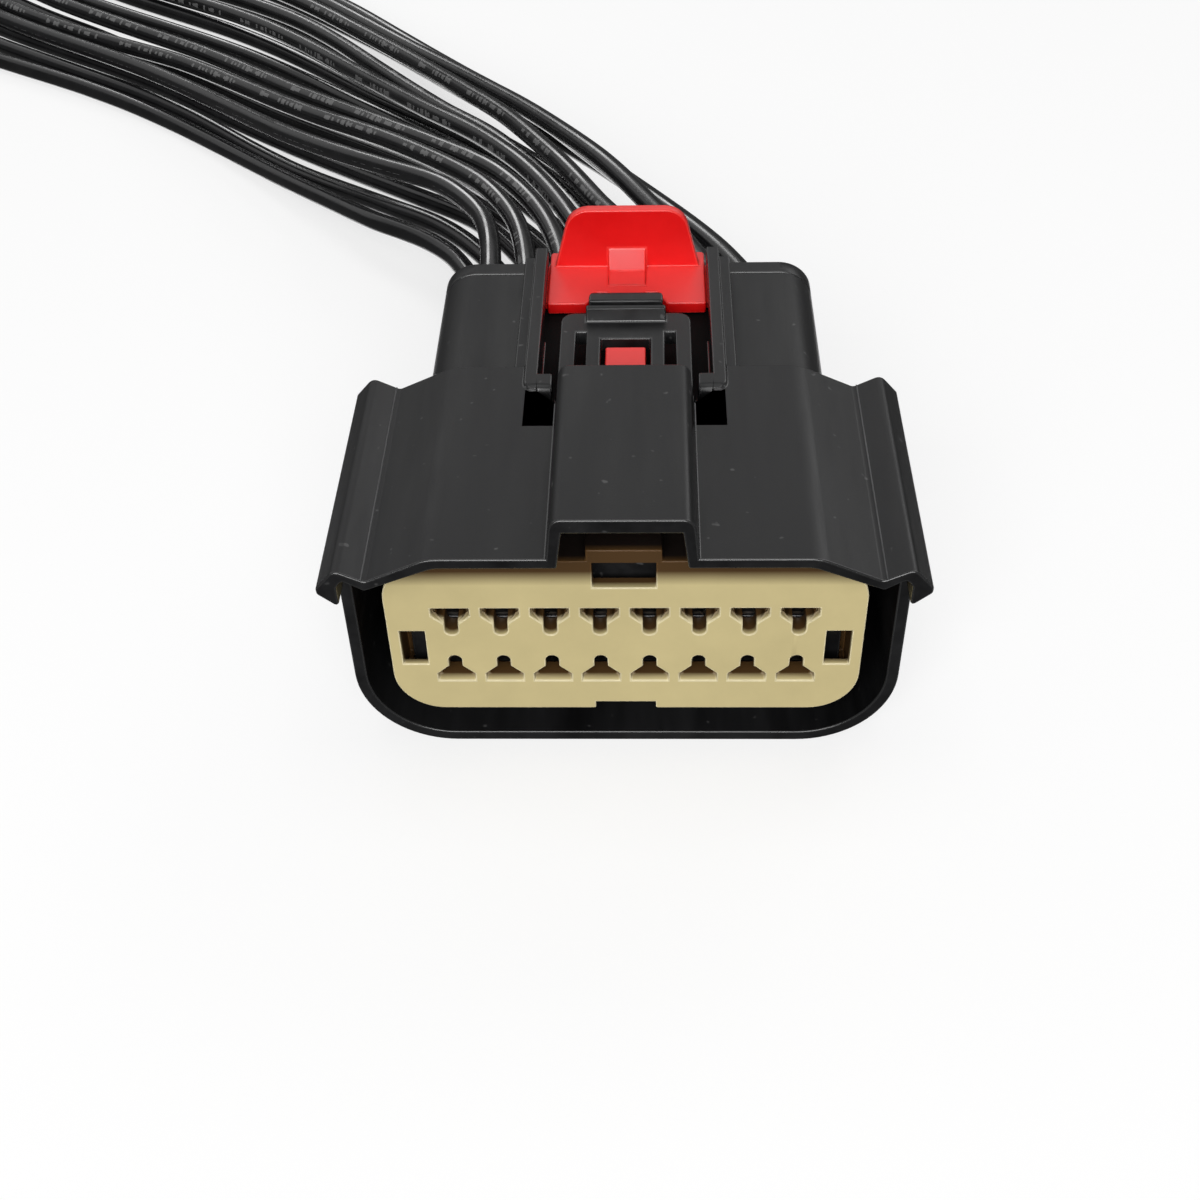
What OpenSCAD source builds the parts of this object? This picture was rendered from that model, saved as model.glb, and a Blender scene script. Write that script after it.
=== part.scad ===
// Sealed wire-to-wire receptacle with two rows of contacts and its loose leads.
// +Z is up, the mating mouth faces -Y and the leads leave towards +Y.
// The origin lies on the table under the middle of the connector.

/* [Contact field] */
// Distance between neighbouring columns of contacts
pitch = 3.5; // [3.3:0.05:4]
// Distance between the two rows of contacts
row_pitch = 4.9; // [4.7:0.1:5.6]

/* [Front retainer] */
// From the outer column to the side of the retainer
retainer_side = 4.6; // [4.2:0.1:6]
// From the upper row to the top of the retainer
retainer_top = 5.6; // [5.2:0.1:6.4]
// From the lower row to the bottom of the retainer
retainer_bottom = 4.1; // [3.8:0.1:5]
// Thickness of the retainer's front plate
retainer_plate = 1.8; // [1.2:0.1:2.4]
// Depth of the retainer's skirt over the tower
retainer_skirt = 6; // [4:0.2:7]
// Wall of the retainer's skirt
skirt_wall = 1.2; // [0.8:0.1:1.6]
// Corner radius of the retainer
retainer_radius = 3.6; // [2.6:0.1:4]
// Width of a blade opening at the face
blade_w = 2.7; // [2.4:0.05:2.8]
// Height of a blade opening at the face
blade_h = 1.55; // [1.3:0.05:1.8]
// Height of the slot at the bottom of a blade opening
blade_slot_h = 0.7; // [0.5:0.05:0.8]
// Width of the probe slot beside a blade opening
probe_w = 0.95; // [0.6:0.05:1.2]
// Length of the probe slot towards the other row
probe_l = 1.05; // [0.6:0.05:1.2]
// Width of the centre slots at the retainer's top and bottom
centre_slot_w = 4.4; // [3.6:0.1:5.2]
// Height of the retainer's side windows
side_slot_h = 3.3; // [2.6:0.1:4]
// Width of the retainer's side windows
side_slot_w = 1.8; // [1.2:0.1:2.2]

/* [Shroud] */
// Wall of the shroud
wall = 0.9; // [0.7:0.05:1.2]
// Free gap between the retainer's sides and the shroud
mouth_gap_side = 1.95; // [1.8:0.05:2.6]
// Free gap between the retainer's bottom and the shroud
mouth_gap_bottom = 2.65; // [2.3:0.05:3.2]
// Free gap between the retainer's top and the hood
mouth_gap_top = 3.25; // [2.9:0.05:3.8]
// Length of the shroud behind the retainer's face
shroud_len = 17; // [16:0.5:20]
// Thickness of the web that closes the shroud at its back
web = 3.5; // [2.6:0.1:3.8]
// Radius of the shroud's bottom corners
shroud_radius = 7; // [5:0.2:8]

/* [Hood] */
// How far the hood reaches ahead of the retainer's face
hood_overhang = 4.3; // [3:0.1:5.5]
// Thickness of the hood
hood_t = 0.8; // [0.6:0.05:1]
// Drop from the hood's flat top to the valley beside each rib
valley_drop = 1.95; // [1.4:0.05:2.2]
// Height of a side rib over its valley
rib_rise = 0.9; // [0.6:0.05:1.2]
// How far a side rib stands out past the shroud
rib_out = 0.45; // [0.3:0.05:0.8]

/* [Bridge] */
// Width of the bridge over the latch arm, at its feet
bridge_w = 10; // [9.6:0.1:11]
// Height of the bridge over the hood
bridge_rise = 3.3; // [2.8:0.1:4]
// Length of the bridge from the hood's front edge
bridge_len = 16.8; // [15:0.2:17]
// Roof of the bridge
bridge_roof = 1.1; // [0.8:0.05:1.2]
// Wall of the bridge's feet
bridge_wall = 0.75; // [0.6:0.05:0.9]

/* [Latch] */
// Width of the latch frame behind the bridge
latch_w = 9.8; // [9:0.1:10.2]
// Thickness of the latch arm
latch_t = 1.2; // [1:0.05:1.4]
// Width of the latch arm under the bridge
arm_w = 6.6; // [6:0.1:7]
// Width of the window in the latch frame
window_w = 3.7; // [3.4:0.1:4]
// Width of the thumb pad
pad_w = 6; // [5:0.1:6.2]
// Length of the thumb pad
pad_l = 2.45; // [2.2:0.05:2.8]
// Height of the thumb pad over the latch frame
pad_h = 1.25; // [0.9:0.05:1.6]

/* [Rear body] */
// Length of the rear body behind the shroud
rear_len = 16; // [15:0.5:19]
// From the outer column to the side of the rear body
rear_side = 2.95; // [2.8:0.05:3.6]
// From the upper row to the top of the rear body
rear_top = 7.45; // [7.3:0.05:7.8]
// From the lower row to the bottom of the rear body
rear_bottom = 5.05; // [4.4:0.05:5.6]
// Corner radius of the rear body
rear_radius = 2.8; // [2:0.1:3.2]
// Wall round the wire seal's pocket
pocket_wall = 1.2; // [1:0.05:1.4]
// Height of the slide's channel walls over the rear body
channel_h = 2.5; // [2:0.1:3]

/* [Rear cap] */
// Thickness of the rear cap
cap_t = 1.7; // [1.2:0.1:2.4]
// Depth of the cap's plug in the pocket
cap_plug = 1.2; // [0.8:0.1:1.6]

/* [Seals] */
// Thickness of the wire seal
wire_seal_t = 4.4; // [3.6:0.1:5]
// Length of the seal round the tower
ring_seal_l = 6; // [4.5:0.1:6.2]
// Thickness of the seal round the tower between its lips
ring_seal_t = 0.9; // [0.7:0.05:1.1]
// Height of a sealing lip
seal_lip = 0.5; // [0.3:0.05:0.6]

/* [Lock slide] */
// Width of the slide
slide_w = 12.5; // [11.8:0.1:12.8]
// Thickness of the slide's base
slide_t = 1; // [0.9:0.05:1.2]
// Length of the ledge ahead of the thumb plate
ledge_l = 5.3; // [4.8:0.1:5.8]
// Height of the thumb plate over the base
plate_h = 5.1; // [4.5:0.1:6.5]
// Thickness of the thumb plate
plate_t = 0.9; // [0.7:0.05:1.4]
// Travel of the slide from released to locked
slide_travel = 3.2; // [2.4:0.1:3.4]

/* [Terminals] */
// Width of a terminal's box
box_w = 2.55; // [2.45:0.05:2.7]
// Height of a terminal's box
box_h = 2.6; // [2.5:0.05:2.8]
// Length of a terminal's box
box_l = 7.5; // [6:0.1:8]
// Sheet thickness of a terminal
sheet_t = 0.25; // [0.2:0.01:0.3]

/* [Wires] */
// Diameter of a wire over its insulation
wire_d = 1.95; // [1.6:0.05:2]

/* [Fits] */
// Clearance between pieces that are pushed together
fit = 0.1; // [0.05:0.01:0.15]
// Clearance round the sliding lock
slide_fit = 0.12; // [0.08:0.01:0.2]
// Clearance of a wire in the wire seal and in its crimp
seal_fit = 0.05; // [0.03:0.01:0.1]
// Clearance of a wire in the rear cap
wire_fit = 0.15; // [0.1:0.01:0.25]

/* [Hidden] */
$fn = 48;
columns = 8;
eps = 0.01;

field_hw = (columns - 1) / 2 * pitch;
retainer_hw = field_hw + retainer_side;
shroud_in_hw = retainer_hw + mouth_gap_side;
shroud_hw = shroud_in_hw + wall;
rear_hw = field_hw + rear_side;

overall_l = hood_overhang + shroud_len + rear_len + cap_t;
front_y = -overall_l / 2;
face_y = front_y + hood_overhang;
web_y = face_y + shroud_len - web;
shroud_y = face_y + shroud_len;
rear_y = shroud_y + rear_len;
cap_y = rear_y + cap_t;
pocket_y = rear_y - cap_plug - wire_seal_t - 2 * fit;
tower_y = face_y + retainer_plate + fit;
skirt_y = face_y + retainer_skirt;

retainer_z0 = wall + mouth_gap_bottom;
mid_z = retainer_z0 + retainer_bottom + row_pitch / 2;
retainer_z1 = mid_z + row_pitch / 2 + retainer_top;
hood_z = retainer_z1 + mouth_gap_top + hood_t;
rear_z0 = mid_z - row_pitch / 2 - rear_bottom;
rear_z1 = mid_z + row_pitch / 2 + rear_top;

tower_inset = skirt_wall + fit;

// Retainer: openings, the boss over the centre slot and the thin edges of the slots
boss_w = centre_slot_w + 0.8;
boss_rise = 1;
slot_sill = 3.15;
slot_lintel = 0.15;
notch_h = 0.65;
side_slot_in = 0.85;
side_slot_drop = 0.25;
blade_rise = 1.2;
lead_in = 0.25;
funnel_l = 0.5;
slot_shoulder = 0.3;
blade_side_h = 0.75;
side_slot_edge = 0.6;
side_slot_relief = 1.4;
slot_edge = 1.1;
slot_relief = 0.8;

// Hood: the panel's flat half, the valley's and the rib's places from the shroud's side
panel_hw = 12.7;
valley_in = 2.85;
crest_in = 1.05;
tip_drop = 2.5;
lip_in = 0.95;
lip_drop = 4.25;
bridge_draft = 0.4;
bridge_radius = 0.8;
relief_in = 0.1;
relief_w = 2;
relief_l = 4;
relief_back = 1.4;

// Latch: the frame lies over the channel's floor, so that the slide's tongue runs under it
bridge_y = front_y + bridge_len;
latch_over = 0.44;
latch_z = rear_z1 + slide_fit + slide_t + latch_over;
latch_root_y = bridge_y + 2;
latch_root_l = 1.6;
latch_len = 10.6;
window_front = 1.2;
window_back = 7.2;
latch_back_y = bridge_y + latch_len;
window_y0 = bridge_y - window_front;
window_y1 = bridge_y + window_back;
latch_slot_w = 0.85;
latch_slot_in = 1.15;
latch_slot_y = bridge_y + 3.9;
latch_slot_l = 4.2;
arm_front_y = face_y + 1;
hook_l = 1.8;
hook_drop = 0.7;
pad_over = 1.2;
pad_under = 0.2;
pad_bar = 0.75;
pad_lean = 0.3;
pad_step = 0.2;
pad_groove = 0.25;
pad_inset = 0.2;
pad_radius = 0.7;

// Lock slide: the base in its channel, with the tongue into the latch window
slide_gap = 0.65;
slide_y0 = latch_back_y + slide_travel + slide_gap;
slide_end = 0.2;
slide_y1 = cap_y - slide_end;
slide_hw = slide_w / 2;
plate_y = slide_y0 + ledge_l;
plate_in = 0.45;
plate_taper = 1.3;
plate_radius = 1.9;
channel_hw = slide_hw + slide_fit;
channel_w = 1;
channel_step_w = 0.9;
channel_step = 0.9;
channel_y = bridge_y + relief_back;
foot_gap = 0.4;
foot_l = 1.8;
foot_radius = 0.9;
foot_nose = 0.6;
tongue_side = 0.55;
tongue_t = 0.7;
nose_side = 0.35;
nose_w = window_w - 2 * nose_side;
nose_gap = 0.4;
nose_y1 = window_y1 - nose_gap;
nose_l = 4;
nose_rise = 1.3;
pad_notch_w = pad_w + 2 * slide_fit;
pad_notch_l = 1.6;
pad_notch_taper = 0.6;
gusset_w = 3;
gusset_l = 2.85;
gusset_h = 1.75;
gusset_step_l = 1.15;
gusset_step_h = 0.3;
gusset_edge = 0.12;

// Terminals: a box, a neck and two crimps behind each other
cavity_w = box_w + 2 * fit;
cavity_h = box_h + 2 * fit;
box_y = tower_y + fit;
neck_l = 1.2;
neck_w = 1.3;
core_crimp_l = 2.6;
core_crimp_d = 1.5;
wire_crimp_l = 2.4;
wire_crimp_d = wire_d + 2 * seal_fit + 2 * sheet_t;
wire_y = box_y + box_l + neck_l + core_crimp_l + fit;

// Bundle of wires: along its run the points are [along, across, height] from the part's origin
run_angle = 43;
wire_sides = 8;

// From the cap, each wire's points are [x, y, z] while it turns to the left, the upper row first
turns = [
    [[-12.5, 26, 12.5], [-12.8, 33, 12.5], [-14.2, 40.5, 12.2], [-18.6, 47.8, 11.5]],
    [[-9, 26, 12.5], [-9.6, 33, 12.5], [-11.1, 40, 12.3], [-14.9, 47.7, 11.8]],
    [[-5.5, 26, 12.5], [-6.5, 34, 12.5], [-9, 42, 12.3], [-13.6, 50.4, 11.6]],
    [[-2.2, 26, 12.5], [-3.8, 34, 12.5], [-6.7, 42.5, 12.3], [-10.9, 51.4, 11.7]],
    [[1.2, 26, 12.4], [-1.3, 34, 11.8], [-4.7, 42.3, 11], [-8.7, 51.4, 10.2]],
    [[4.6, 26, 12.5], [1.3, 34.5, 12.6], [-2.8, 42, 12.5], [-6.7, 50.5, 12.1]],
    [[8.2, 26.5, 12.5], [5.4, 34.5, 12.5], [1.4, 43.1, 12.4], [-3.3, 52.6, 11.9]],
    [[11.6, 26, 12.4], [8.4, 34.6, 11.9], [3.8, 43.6, 10.9], [-1.6, 53.5, 9.6]],
    [[-12.5, 26, 7.5], [-13.8, 33, 7.4], [-17.3, 41.8, 6.8], [-21.7, 47.2, 6.2]],
    [[-9, 26, 7.5], [-10.4, 33.5, 7.3], [-14.7, 42.2, 7], [-19.3, 48.7, 6.3]],
    [[-5.6, 26, 7.5], [-7.6, 34, 7.3], [-11.5, 42.9, 6.9], [-16, 49.8, 6.4]],
    [[-2.1, 26, 7.5], [-4.2, 34.5, 7.2], [-8.7, 43.7, 6.8], [-13.6, 51.1, 6.3]],
    [[1.3, 26, 7.5], [-1.2, 35, 7.2], [-6, 44.8, 6.8], [-11.1, 53.5, 6.2]],
    [[4.7, 26, 7.5], [1.8, 35.5, 7.2], [-3.4, 46, 6.8], [-8.8, 55, 6.2]],
    [[8.2, 26, 7.5], [4.8, 36.5, 7.2], [-1, 47.5, 6.7], [-6.1, 56.3, 6.2]],
    [[11.8, 26, 7.5], [8.8, 36.5, 7.2], [5, 48.4, 6.8], [-1.2, 58.8, 6.1]]
];

// Then each wire runs along the bundle and down to the table
runs = [
    [[56, 18.6, 10.2], [66, 17.9, 8.7], [76, 17.8, 7.2], [86, 18.2, 5.9], [96, 18.3, 4.9], [106, 17.7, 4.2],
     [116, 16.4, 3.6], [126, 14.5, 3.3], [136, 12.7, 3.2], [148, 11.4, 3.2], [166, 10.4, 3.2]],
    [[56, 22.9, 10.2], [66, 23.2, 8.7], [76, 22.9, 7.2], [86, 22.8, 5.9], [96, 22.6, 4.9], [106, 21.7, 4.2],
     [116, 19.6, 3.6], [126, 17.3, 3.3], [136, 15.5, 3.2], [147, 14.4, 3.2], [164, 13.4, 3.2]],
    [[56, 25.2, 10.2], [66, 25.5, 8.7], [76, 25.7, 7.2], [86, 25.7, 5.9], [96, 25.7, 4.9], [106, 25.1, 4.2],
     [116, 23.8, 3.6], [126, 22.1, 3.3], [136, 20.4, 3.2], [147, 19.3, 3.2], [163, 18.3, 3.2]],
    [[56, 29.6, 10.2], [66, 30.9, 8.7], [76, 32.4, 7.2], [86, 33.8, 5.9], [96, 34.9, 4.9], [106, 35.2, 4.2],
     [116, 34.4, 3.6], [126, 32.4, 3.3], [136, 30.4, 3.2], [147, 29, 3.2], [161, 28.2, 3.2]],
    [[56, 31.8, 9], [66, 33.4, 7.6], [76, 35.3, 6.3], [86, 37.2, 5.2], [96, 38.9, 4.3], [106, 39.7, 3.6],
     [116, 39.1, 3], [126, 37.4, 2.6], [136, 35.7, 2.5], [146, 34.5, 2.5], [159, 33.6, 2.5]],
    [[56, 34.3, 10.2], [66, 36.7, 8.7], [76, 38.9, 7.2], [86, 40.7, 5.9], [96, 42, 4.9], [106, 42.8, 4.2],
     [116, 42.9, 3.6], [126, 42.1, 3.3], [136, 40.8, 3.2], [146, 39.8, 3.2], [156, 39, 3.2]],
    [[56, 37.7, 9.6], [66, 39.9, 8], [76, 41.8, 6.5], [86, 43.2, 5.3], [96, 44.3, 4.5], [106, 45.1, 3.9],
     [116, 45.3, 3.4], [126, 44.7, 3.2], [136, 43.5, 3.2], [146, 42.4, 3.2], [155, 41.6, 3.2]],
    [[56, 39.5, 8], [66, 41.9, 6.4], [76, 43.9, 4.9], [86, 45.6, 3.8], [96, 46.8, 3.2], [106, 47.8, 2.7],
     [116, 48.3, 1.9], [126, 47.9, 1.3], [136, 46.9, 1.1], [145, 45.9, 1.1], [154, 45.1, 1.1]],
    [[56, 15.7, 5.4], [66, 16.1, 3.8], [76, 16.4, 2.4], [86, 16.4, 1.5], [96, 15.8, 1.1], [106, 14.3, 1.1],
     [116, 12, 1.1], [126, 9.1, 1.1], [136, 6.5, 1.1], [148, 4.5, 1.1], [168, 3.5, 1.1]],
    [[56, 18.9, 5.3], [66, 19.3, 3.2], [76, 19, 1.8], [86, 18.8, 1.1], [96, 18.2, 1.1], [106, 16.8, 1.1],
     [116, 14.5, 1.1], [126, 12.1, 1.1], [136, 9.9, 1.1], [147, 8.3, 1.1], [165, 7.3, 1.1]],
    [[56, 22.1, 5.4], [66, 22.2, 3.8], [76, 22.1, 2.4], [86, 21.6, 1.5], [96, 20.8, 1.1], [106, 19.7, 1.1],
     [116, 17.8, 1.1], [126, 15.4, 1.1], [136, 13.2, 1.1], [147, 11.7, 1.1], [163, 10.7, 1.1]],
    [[56, 26, 5.4], [66, 27, 3.8], [76, 26.9, 2.4], [86, 26, 1.5], [96, 25, 1.1], [106, 23.9, 1.1],
     [116, 22.6, 1.1], [126, 21.2, 1.1], [136, 19.3, 1.1], [147, 17.9, 1.1], [162, 16.7, 1.1]],
    [[56, 31.2, 5.4], [66, 33, 3.8], [76, 33.8, 2.4], [86, 33.9, 1.5], [96, 33.5, 1.1], [106, 32.3, 1.1],
     [116, 30.3, 1.1], [126, 27.9, 1.1], [136, 25.7, 1.1], [146, 24.3, 1.1], [160, 23.3, 1.1]],
    [[56, 33.4, 5.4], [66, 35.3, 3.8], [76, 36.2, 2.4], [86, 36.5, 1.5], [96, 36.6, 1.1], [106, 35.9, 1.1],
     [116, 34.4, 1.1], [126, 32.1, 1.1], [136, 29.9, 1.1], [146, 28.5, 1.1], [157, 27.6, 1.1]],
    [[56, 35.7, 5.4], [66, 37.6, 3.8], [76, 38.8, 2.4], [86, 39.7, 1.5], [96, 40.6, 1.1], [106, 41, 1.1],
     [116, 40.4, 1.1], [126, 39, 1.1], [136, 37.4, 1.1], [146, 36.4, 1.1], [155, 35.6, 1.1]],
    [[56, 40.8, 5.4], [66, 42.6, 3.8], [76, 44.2, 2.4], [86, 45.5, 1.5], [96, 46.2, 1.1], [106, 46, 1.1],
     [116, 45.5, 1.1], [126, 44.2, 1.1], [136, 42.2, 1.1], [145, 41, 1.1], [153, 40.2, 1.1]]
];

// Contact k: 1 to 8 in the upper row, 9 to 16 in the lower row, from the left
function contact_x(k) = ((k - 1) % columns - (columns - 1) / 2) * pitch;
function contact_up(k) = k <= columns ? 1 : -1;
function contact_z(k) = mid_z + contact_up(k) * row_pitch / 2;

function unit(v) = v / norm(v);

// Points of an arc of radius r in the corner b between a and c
function corner(a, b, c, r, steps) =
    let (u = unit(a - b), v = unit(c - b), half = acos(u * v) / 2)
    let (centre = b + unit(u + v) * r / sin(half), p = b + u * r / tan(half) - centre)
    let (side = u[0] * v[1] - u[1] * v[0] > 0 ? -1 : 1, sweep = side * (2 * half - 180))
    [for (i = [0:steps]) centre + rotated(p, -sweep * i / steps)];

function rotated(p, angle) = [p[0] * cos(angle) - p[1] * sin(angle), p[0] * sin(angle) + p[1] * cos(angle)];

// Outline through points [x, z, r], each corner rounded by its r
function rounded(points, steps = 4) =
    let (n = len(points))
    [for (i = [0:n - 1])
        let (p = points[i], a = points[(i + n - 1) % n], c = points[(i + 1) % n])
        for (q = p[2] > 0
                ? corner([a[0], a[1]], [p[0], p[1]], [c[0], c[1]], p[2], steps)
                : [[p[0], p[1]]]) q];

// The right half of an outline and its mirror image, from the bottom centre round to the top centre
function mirrored(half) =
    concat(half, [for (i = [len(half) - 1:-1:0]) [-half[i][0], half[i][1], half[i][2]]]);

// A drawing in the XZ plane, drawn out from y0 to y1
module along_y(y0, y1) {
    translate([0, y1, 0])
        rotate([90, 0, 0])
            linear_extrude(y1 - y0) children();
}

// A drawing in the YZ plane, drawn out w wide about the middle plane
module across_x(w) {
    rotate([90, 0, 90])
        translate([0, 0, -w / 2])
            linear_extrude(w) children();
}

module block(hw, y0, y1, z0, z1) {
    translate([-hw, y0, z0]) cube([2 * hw, y1 - y0, z1 - z0]);
}

module both_sides() {
    children();
    mirror([1, 0, 0]) children();
}

// Rectangle with round corners, made of true arcs
module round_rect(hw, z0, z1, r) {
    translate([-hw + r, z0]) square([2 * (hw - r), z1 - z0]);
    translate([-hw, z0 + r]) square([2 * hw, z1 - z0 - 2 * r]);
    for (x = [-hw + r, hw - r], z = [z0 + r, z1 - r]) translate([x, z]) circle(r);
}

module retainer_outline(inset = 0) {
    round_rect(retainer_hw - inset, retainer_z0 + inset, retainer_z1 - inset, retainer_radius - inset);
}

module rear_outline(inset = 0) {
    round_rect(rear_hw - inset, rear_z0 + inset, rear_z1 - inset, rear_radius - inset);
}

// Hood in section: a flat top, a valley and a folded rib on each side, one thickness all along
module hood_section() {
    valley_x = shroud_hw - valley_in;
    crest_x = shroud_hw - crest_in;
    tip_x = shroud_hw + rib_out;
    lip_x = shroud_hw - lip_in;
    valley_z = hood_z - valley_drop;
    crest_z = valley_z + rib_rise;
    half = [
        [panel_hw - hood_t / 2, hood_z - hood_t, 2.4], [valley_x + 0.1, valley_z - hood_t, 0.3],
        [crest_x - 0.3, crest_z - hood_t, 0.3], [lip_x, crest_z - hood_t - 0.6, 0.3],
        [lip_x, hood_z - lip_drop, 0.2], [tip_x, hood_z - tip_drop - 0.5, 0.4],
        [tip_x, hood_z - tip_drop, 0.5], [crest_x + 0.15, crest_z + 0.1, 0.6],
        [valley_x, valley_z, 0.4], [panel_hw, hood_z, 3]
    ];
    polygon(rounded(mirrored(half)));
}

// Shroud in section: straight sides up into the ribs, round corners at the bottom
module shroud_section() {
    difference() {
        round_rect(shroud_hw, 0, hood_z - valley_drop - hood_t, shroud_radius);
        round_rect(shroud_in_hw, wall, hood_z, shroud_radius - wall);
    }
    both_sides()
        translate([shroud_in_hw, hood_z / 2]) square([wall, hood_z / 2 - lip_drop + 1]);
}

// Web in section: it fills the shroud up to the middle of the hood's sheet
module web_section() {
    mid = hood_t / 2;
    round_rect(shroud_hw - eps, 0, retainer_z1, shroud_radius);
    half = [
        [shroud_hw - eps, shroud_radius, 0], [shroud_hw - eps, hood_z - lip_drop + mid, 0],
        [shroud_hw - crest_in, hood_z - valley_drop + rib_rise - mid, 0],
        [shroud_hw - valley_in, hood_z - valley_drop - mid, 0], [panel_hw - mid / 2, hood_z - mid, 0]
    ];
    polygon(rounded(mirrored(half)));
}

module bridge_section() {
    foot = bridge_w / 2;
    roof = foot - bridge_draft;
    top = hood_z + bridge_rise;
    sill = hood_z - hood_t;
    difference() {
        polygon(rounded([
            [-foot, sill, 0], [foot, sill, 0], [roof, top, bridge_radius], [-roof, top, bridge_radius]
        ]));
        polygon([
            [-foot + bridge_wall, sill - eps], [foot - bridge_wall, sill - eps],
            [roof - bridge_wall, top - bridge_roof], [-roof + bridge_wall, top - bridge_roof]
        ]);
    }
}

// Latch frame with its window, two slots and the arm that reaches forward under the bridge
module latch() {
    difference() {
        union() {
            translate([0, 0, latch_z]) linear_extrude(latch_t) latch_plan();
            hook();
            both_sides()
                translate([arm_w / 2, latch_root_y, rear_z1 - eps])
                    cube([(latch_w - arm_w) / 2, latch_root_l, latch_z - rear_z1 + 2 * eps]);
            thumb_pad();
        }
        block(window_w / 2, window_y0, window_y1, latch_z - 1, latch_z + latch_t + 1);
        both_sides()
            translate([latch_w / 2 - latch_slot_in - latch_slot_w, latch_slot_y, latch_z - 1])
                cube([latch_slot_w, latch_slot_l, latch_t + 2]);
    }
}

module latch_plan() {
    frame = latch_w / 2;
    arm = arm_w / 2;
    polygon(rounded([
        [-arm, arm_front_y, 0.3], [arm, arm_front_y, 0.3], [arm, bridge_y + 0.2, 0],
        [frame, bridge_y + 1, 0.3], [frame, latch_back_y, 1], [-frame, latch_back_y, 1],
        [-frame, bridge_y + 1, 0.3], [-arm, bridge_y + 0.2, 0]
    ]));
}

module hook() {
    across_x(arm_w)
        polygon([
            [arm_front_y, latch_z + eps], [arm_front_y + 0.6, latch_z - hook_drop],
            [arm_front_y + hook_l, latch_z - hook_drop], [arm_front_y + hook_l, latch_z + eps]
        ]);
}

// Two low grip bars, the front one leaning back and the rear one narrower, with round corners
module thumb_pad() {
    y1 = latch_back_y + pad_over;
    y0 = y1 - pad_l;
    bar_y = y0 + pad_bar;
    z0 = latch_z + pad_under;
    z1 = latch_z + latch_t + pad_h;
    z_bar = z1 - pad_step;
    z_groove = z1 - pad_h / 2;
    across_x(pad_w)
        polygon(rounded([
            [y0, z0, 0], [y0, latch_z + latch_t, 0], [y0 + pad_lean, z_bar, 0.15],
            [bar_y, z_bar, 0.1], [bar_y, z0, 0]
        ]));
    bar_hw = pad_w / 2 - pad_inset;
    intersection() {
        across_x(pad_w)
            polygon(rounded([
                [bar_y - eps, z0, 0], [bar_y - eps, z_groove, 0], [bar_y + pad_groove, z_groove, 0],
                [bar_y + pad_groove, z1, 0.2], [y1, z1, 0.5], [y1, z0, 0.3]
            ]));
        translate([0, 0, z0 - 1])
            linear_extrude(z1 - z0 + 2)
                polygon(rounded([
                    [-bar_hw, y0, 0], [bar_hw, y0, 0], [bar_hw, y1, pad_radius], [-bar_hw, y1, pad_radius]
                ]));
    }
}

// Guide walls of the slide on the rear body, with the grooves for the slide's tongues
module channel_walls() {
    groove_y = slide_y0 - slide_travel - slide_gap;
    wall_y = channel_y + foot_radius;
    both_sides() {
        difference() {
            union() {
                translate([channel_hw, wall_y, rear_z1 - eps])
                    cube([channel_w, rear_y - wall_y, channel_h + eps]);
                translate([channel_hw + channel_w - eps, shroud_y - eps, rear_z1 - eps])
                    cube([channel_step_w + eps, rear_y - shroud_y + eps, channel_h - channel_step + eps]);
            }
            translate([channel_hw - eps, groove_y, rear_z1])
                cube([tongue_side + slide_fit, rear_y - groove_y + 1, tongue_t + 2 * slide_fit]);
        }
        channel_foot();
    }
}

// Foot at the front of a guide wall, turned in towards the latch frame, with a round corner and nose
module channel_foot() {
    x0 = latch_w / 2 + foot_gap;
    x1 = channel_hw + channel_w;
    y1 = channel_y + foot_l;
    top = rear_z1 + channel_h;
    intersection() {
        translate([0, 0, rear_z1 - eps])
            linear_extrude(channel_h + 1)
                polygon(rounded([
                    [x0, channel_y, 0.2], [x1, channel_y, foot_radius], [x1, y1, 0], [x0, y1, 0.2]
                ]));
        across_x(2 * x1 + 1)
            polygon(rounded([
                [channel_y, rear_z1 - 1, 0], [y1 + 1, rear_z1 - 1, 0], [y1 + 1, top, 0],
                [channel_y, top, foot_nose]
            ]));
    }
}

// Shroud and hood with the web at their back, open over the latch arm and the latch frame
module shell() {
    difference() {
        union() {
            along_y(face_y, shroud_y) shroud_section();
            along_y(front_y, shroud_y) hood_section();
            along_y(web_y, shroud_y) web_section();
        }
        block(bridge_w / 2 - bridge_wall, front_y - 1, shroud_y + 1, rear_z1, hood_z + 1);
        block(channel_hw, bridge_y, shroud_y + 1, rear_z1, hood_z + 1);
    }
}

// One moulding: shell, bridge, tower, rear body, latch and channel
module housing() {
    color([0.1, 0.1, 0.1])
        difference() {
            union() {
                shell();
                along_y(front_y, bridge_y) bridge_section();
                along_y(tower_y, shroud_y) retainer_outline(tower_inset);
                along_y(web_y, rear_y) rear_outline();
                latch();
                channel_walls();
            }
            both_sides()
                translate([bridge_w / 2 + relief_in, channel_y - relief_l, hood_z - hood_t - 0.5])
                    cube([relief_w, relief_l, hood_t + 1]);
            along_y(pocket_y, rear_y + 1) rear_outline(pocket_wall);
            for (k = [1:2 * columns])
                translate([contact_x(k) - cavity_w / 2, tower_y - 1, contact_z(k) - cavity_h / 2])
                    cube([cavity_w, pocket_y - tower_y + 2, cavity_h]);
        }
}

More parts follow.
